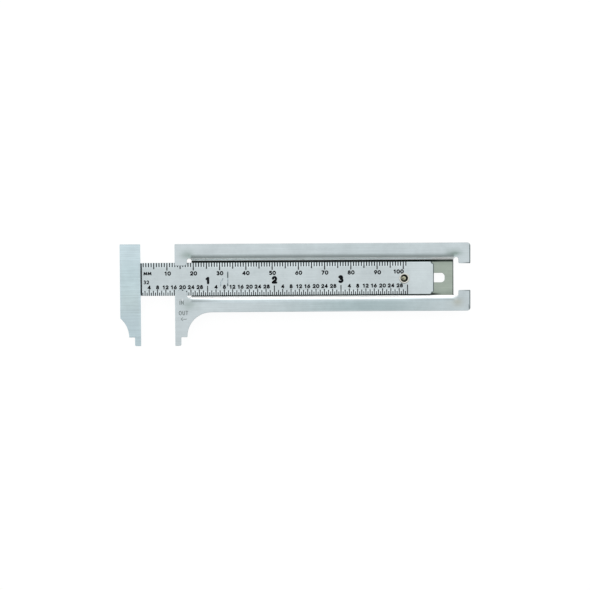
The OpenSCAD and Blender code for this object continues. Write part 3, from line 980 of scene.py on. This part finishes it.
def light_scuffs():
    """Fainter scuffs beside them."""
    labels = [("~", 30.8, -2.9, 3.3, 0.34, 1, 0), ("I", 33.1, -1.7, 2.1, 0.34, 1, 0)]
    return drawn("light_scuffs", labels, SLIDE_AT, RULE_TOP)


def reading_signs():
    """Which edge of the fixed jaw reads which way: the inside and outside signs, and the outside
    sign's arrow; the inside sign's arrow is drawn apart.
    """
    labels = [
        ("IN", 2.55, -10.05, 1.55, 0.28, 0.9, 0.25),
        ("OUT", 3.2, -14.05, 1.7, 0.28, 0.76, 0.2),
        ("<", 3.3, -16.3, 1.5, 0.2, 0.85, 0),
    ]
    return drawn("reading_signs", labels, FRAME_AT, FACE_Z)


def reading_arrow():
    """The paler arrow over the inside sign."""
    return drawn("reading_arrow", [(">", 2.55, -8.6, 0.9, 0.2, 0.95, 0)], FRAME_AT, FACE_Z)


# Materials


def node_group(name, inputs, outputs):
    """Empty shader node group with its sockets, and what its input node gives."""
    group = bpy.data.node_groups.new(name, "ShaderNodeTree")
    for socket, value in inputs.items():
        made = group.interface.new_socket(socket, in_out="INPUT", socket_type="NodeSocketFloat")
        made.default_value = value
    for socket, kind in outputs.items():
        group.interface.new_socket(socket, in_out="OUTPUT", socket_type=kind)
    return group, added(group, "NodeGroupInput").outputs


# Detail of every noise, the part of its range that it fills, the grain's depth in metres, and how
# far the grain changes the roughness
FRACTAL = {"Detail": 4, "Roughness": 0.7}
NOISE_LOW = 0.3
NOISE_HIGH = 0.7
GRAIN_DEPTH = 0.00005
ROUGH_SPREAD = 0.06


def brushed_group():
    """Grain of steel brushed along X: a streak value and the normal that goes with it."""
    group, given = node_group(
        "brushed_grain",
        {"Along": 60, "Across": 6000, "Height": 0.12},
        {"Streak": "NodeSocketFloat", "Normal": "NodeSocketVector"},
    )
    place = added(group, "ShaderNodeTexCoord").outputs["Object"]
    stretch = added(group, "ShaderNodeCombineXYZ",
                    {"X": given["Along"], "Y": given["Across"], "Z": given["Across"]})
    scaled = added(group, "ShaderNodeVectorMath", {0: place, 1: stretch.outputs[0]},
                   operation="MULTIPLY")
    noise = added(group, "ShaderNodeTexNoise", {"Vector": scaled.outputs[0], "Scale": 1, **FRACTAL})
    streak = noise.outputs["Fac"]
    bump = added(group, "ShaderNodeBump",
                 {"Distance": GRAIN_DEPTH, "Strength": given["Height"], "Height": streak})
    added(group, "NodeGroupOutput", {"Streak": streak, "Normal": bump.outputs[0]})
    return group


def cloud_group():
    """Slow change of tone over a surface, such as handling leaves."""
    group, given = node_group(
        "handling_cloud", {"Scale": 150, "Low": 0.92, "High": 1.05}, {"Tone": "NodeSocketFloat"},
    )
    place = added(group, "ShaderNodeTexCoord").outputs["Object"]
    noise = added(group, "ShaderNodeTexNoise",
                  {"Vector": place, "Scale": given["Scale"], **FRACTAL})
    tone = mapped(group, noise.outputs["Fac"], NOISE_LOW, NOISE_HIGH, given["Low"], given["High"])
    added(group, "NodeGroupOutput", {"Tone": tone})
    return group


def grouped(tree, group, **values):
    """What a group node in a material gives, with its values."""
    node = tree.nodes.new("ShaderNodeGroup")
    node.node_tree = group
    for name, value in values.items():
        node.inputs[name].default_value = value
    return node.outputs


def new_material(name):
    """Material with its node tree and its shader."""
    material = bpy.data.materials.new(name)
    material.use_nodes = True
    return material, material.node_tree, material.node_tree.nodes["Principled BSDF"]


def steel(name, colour, rough, along=60, across=6000, contrast=0.12, shading_painted=False):
    """Brushed stainless steel: streaks in tone, roughness and relief, a slow cloud over them."""
    material, tree, shader = new_material(name)
    shader.inputs["Metallic"].default_value = 1
    grain = grouped(tree, GRAIN, Along=along, Across=across)
    handled = grouped(tree, CLOUD)["Tone"]
    streak = mapped(tree, grain["Streak"], NOISE_LOW, NOISE_HIGH, 1 - contrast, 1 + contrast / 2)
    tone = maths(tree, "MULTIPLY", streak, handled)
    painted = blended(tree, "MULTIPLY", 1, (*colour, 1), tone)
    # Painted light and shade from the piece's tone attribute
    if shading_painted:
        painted_light_tone = added(tree, "ShaderNodeAttribute", attribute_name="tone").outputs["Color"]
        painted = blended(tree, "MULTIPLY", 1, painted, painted_light_tone)
    gloss = mapped(tree, grain["Streak"], 0, 1, rough - ROUGH_SPREAD, rough + ROUGH_SPREAD)
    tree.links.new(painted, shader.inputs["Base Color"])
    tree.links.new(gloss, shader.inputs["Roughness"])
    tree.links.new(grain["Normal"], shader.inputs["Normal"])
    return material


def ink(name, colour, rough):
    """Paint wiped into etched lines, a little uneven."""
    material, tree, shader = new_material(name)
    shader.inputs["Roughness"].default_value = rough
    shader.inputs["Specular IOR Level"].default_value = 0.03
    worn = grouped(tree, CLOUD, Scale=900, Low=0.6, High=1.8)["Tone"]
    shade = blended(tree, "MULTIPLY", 1, (*colour, 1), worn)
    tree.links.new(shade, shader.inputs["Base Color"])
    return material


# Floor, light and camera

FLOOR_SIZE = 3
FLOOR_Z = -0.00002
FLOOR_GLOW = 0.9
FLOOR_COLOUR = (0.14, 0.14, 0.14, 1)

# The studio's light from the dark front (0) to the bright back (1), its most over the horizon and
# its least near it
BACK = (-0.1, 0.99, 0)
STUDIO_STOPS = [
    (0.0, 0.28), (0.25, 0.38), (0.42, 0.84), (0.5, 1.02), (0.77, 1.06), (0.85, 1.9), (1.0, 2.2),
]
CALM_LIGHT = (1.35, 1.35, 1.35, 1)
HAZE_LIGHT = (1.1, 1.1, 1.1, 1)

EYE_TURN = (-2.167, -0.955, -0.332)
EYE_TARGET = (-0.144, -0.435, 0)
EYE_DISTANCE = 0.5
SENSOR = 36
LENS = 79.47


def pale_floor():
    """White table: most of its light shows to the camera and in the metal only."""
    bpy.ops.mesh.primitive_plane_add(size=FLOOR_SIZE, location=(0, 0, FLOOR_Z))
    floor = bpy.context.object
    floor.name = "table_top"
    material, tree, shader = new_material("white_table")
    tree.nodes.remove(shader)
    path = added(tree, "ShaderNodeLightPath").outputs
    seen = maths(tree, "MAXIMUM", path["Is Camera Ray"], path["Is Glossy Ray"])
    strength = maths(tree, "MULTIPLY", seen, FLOOR_GLOW)
    glow = added(tree, "ShaderNodeEmission", {"Strength": strength})
    matt = added(tree, "ShaderNodeBsdfDiffuse", {"Color": FLOOR_COLOUR})
    total = added(tree, "ShaderNodeAddShader", {0: glow.outputs[0], 1: matt.outputs[0]})
    tree.links.new(total.outputs[0], tree.nodes["Material Output"].inputs["Surface"])
    floor.data.materials.append(material)


def studio_world():
    """Soft studio: bright behind and to the left, darker in front, pale at table height."""
    world = bpy.data.worlds.new("studio")
    world.use_nodes = True
    tree = world.node_tree
    direction = added(tree, "ShaderNodeTexCoord").outputs["Generated"]
    facing = added(tree, "ShaderNodeVectorMath", {0: direction, 1: BACK}, operation="DOT_PRODUCT")
    behind = mapped(tree, facing.outputs["Value"], -1, 1)
    light = added(tree, "ShaderNodeValToRGB", {"Fac": behind})
    levels = light.color_ramp
    levels.interpolation = "EASE"
    for i, (at, value) in enumerate(STUDIO_STOPS):
        stop = levels.elements[i] if i < len(levels.elements) else levels.elements.new(at)
        stop.position = at
        stop.color = (value, value, value, 1)
    height = added(tree, "ShaderNodeSeparateXYZ", {0: direction}).outputs["Z"]
    high = mapped(tree, height, 0, 0.25, interpolation_type="SMOOTHSTEP")
    low = mapped(tree, height, 0.3, 0.1, interpolation_type="SMOOTHSTEP")
    calm = blended(tree, "DARKEN", high, light.outputs["Color"], CALM_LIGHT)
    haze = blended(tree, "LIGHTEN", low, calm, HAZE_LIGHT)
    tree.links.new(haze, tree.nodes["Background"].inputs["Color"])
    bpy.context.scene.world = world


def softbox(name, place, size, power):
    """Square area lamp that looks at the middle of the scene."""
    lamp = bpy.data.lights.new(name, "AREA")
    lamp.size = size
    lamp.energy = power
    holder = bpy.data.objects.new(name, lamp)
    holder.location = place
    holder.rotation_euler = (-Vector(place)).to_track_quat("-Z", "Y").to_euler()
    bpy.context.scene.collection.objects.link(holder)


def camera():
    """Straight above the face, half a metre off, tilted by the small angles of the photograph."""
    data = bpy.data.cameras.new("camera")
    data.sensor_width = SENSOR
    data.lens = LENS
    eye = bpy.data.objects.new("camera", data)
    turned = Euler([math.radians(a) for a in EYE_TURN], "XYZ").to_matrix()
    place = Vector(EYE_TARGET) * MM + turned @ Vector((0, 0, EYE_DISTANCE))
    eye.matrix_world = Matrix.Translation(place) @ turned.to_4x4()
    bpy.context.scene.collection.objects.link(eye)
    bpy.context.scene.camera = eye


def dress(piece, material, body, node=None):
    """Gives a piece its material and the body it rides on, and hides the imported node it stands
    for.
    """
    if piece.data.materials:
        piece.data.materials[0] = material
    else:
        piece.data.materials.append(material)
    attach(piece, body)
    if node:
        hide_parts(node)


camera()
pale_floor()
studio_world()
softbox("key_box", (-0.15, 0.8, 0.6), 0.6, 0.1)
bpy.context.scene.view_settings.view_transform = "Standard"

GRAIN = brushed_group()
CLOUD = cloud_group()
RAIL_STEEL = steel("rail_steel", (0.64, 0.715, 0.74), 0.34, shading_painted=True)
RULE_STEEL = steel("rule_steel", (0.64, 0.715, 0.735), 0.36, across=9000, shading_painted=True)
JAW_STEEL = steel("jaw_steel", (0.61, 0.72, 0.745), 0.36, contrast=0.2, shading_painted=True)
RIVET_STEEL = steel("rivet_steel", (0.72, 0.72, 0.67), 0.26, along=800, across=3000, shading_painted=True)
BACK_STEEL = steel("washer_steel", (0.58, 0.6, 0.6), 0.3, along=900, across=900)
BLACK = ink("black_ink", (0.005, 0.006, 0.008), 0.45)
GREY = ink("grey_etching", (0.18, 0.21, 0.21), 0.5)
PALE = ink("pale_etching", (0.62, 0.66, 0.68), 0.4)
DARK_SCUFF = ink("dark_scuff", (0.1, 0.13, 0.14), 0.5)
LIGHT_SCUFF = ink("light_scuff", (0.3, 0.36, 0.39), 0.5)

TREE, SOCKETS = graduation_tree()
LINES = {"Line depth": PAINT_DEPTH, "Material": BLACK}
MM_LINES = {
    "Line width": 0.42, "Count": int(SCALE_L), "Pitch": 1.0, "Side": -1.0, "Length": 1.6,
    "Every 1": 5, "Length 1": 2.35, "Every 2": 10, "Length 2": 2.9, "Every 3": 10, "Length 3": 2.9,
}
INCH_LINES = {
    "Line width": 0.37, "Count": 128, "Pitch": INCH / 32, "Side": 1.0, "Length": 1.25,
    "Every 1": 2, "Length 1": 1.9, "Every 2": 4, "Length 2": 2.3, "Every 3": 32, "Length 3": 3.7,
}

dress(frame_sheet(), RAIL_STEEL, "frame", "frame")
dress(rule_strip(), RULE_STEEL, "slide", "rule")
dress(jaw_plate(), JAW_STEEL, "slide", "sliding_jaw")
dress(rivet(), RIVET_STEEL, "slide", "stop_rivet")
dress(flat_washer(), BACK_STEEL, "slide", "slide_washer")
dress(cone_washer(), BACK_STEEL, "slide", "spring_washer")
MM_ROW = graduation_row("mm_lines", TREE, SOCKETS, RULE_W / 2, {**LINES, **MM_LINES})
dress(MM_ROW, BLACK, "slide", "mm_graduations")
INCH_ROW = graduation_row("inch_lines", TREE, SOCKETS, -RULE_W / 2, {**LINES, **INCH_LINES})
dress(INCH_ROW, BLACK, "slide", "inch_graduations")
dress(numerals(), BLACK, "slide", None)
dress(scuffs(), DARK_SCUFF, "slide", None)
dress(light_scuffs(), LIGHT_SCUFF, "slide", None)
dress(reading_signs(), GREY, "frame", None)
dress(reading_arrow(), PALE, "frame", None)
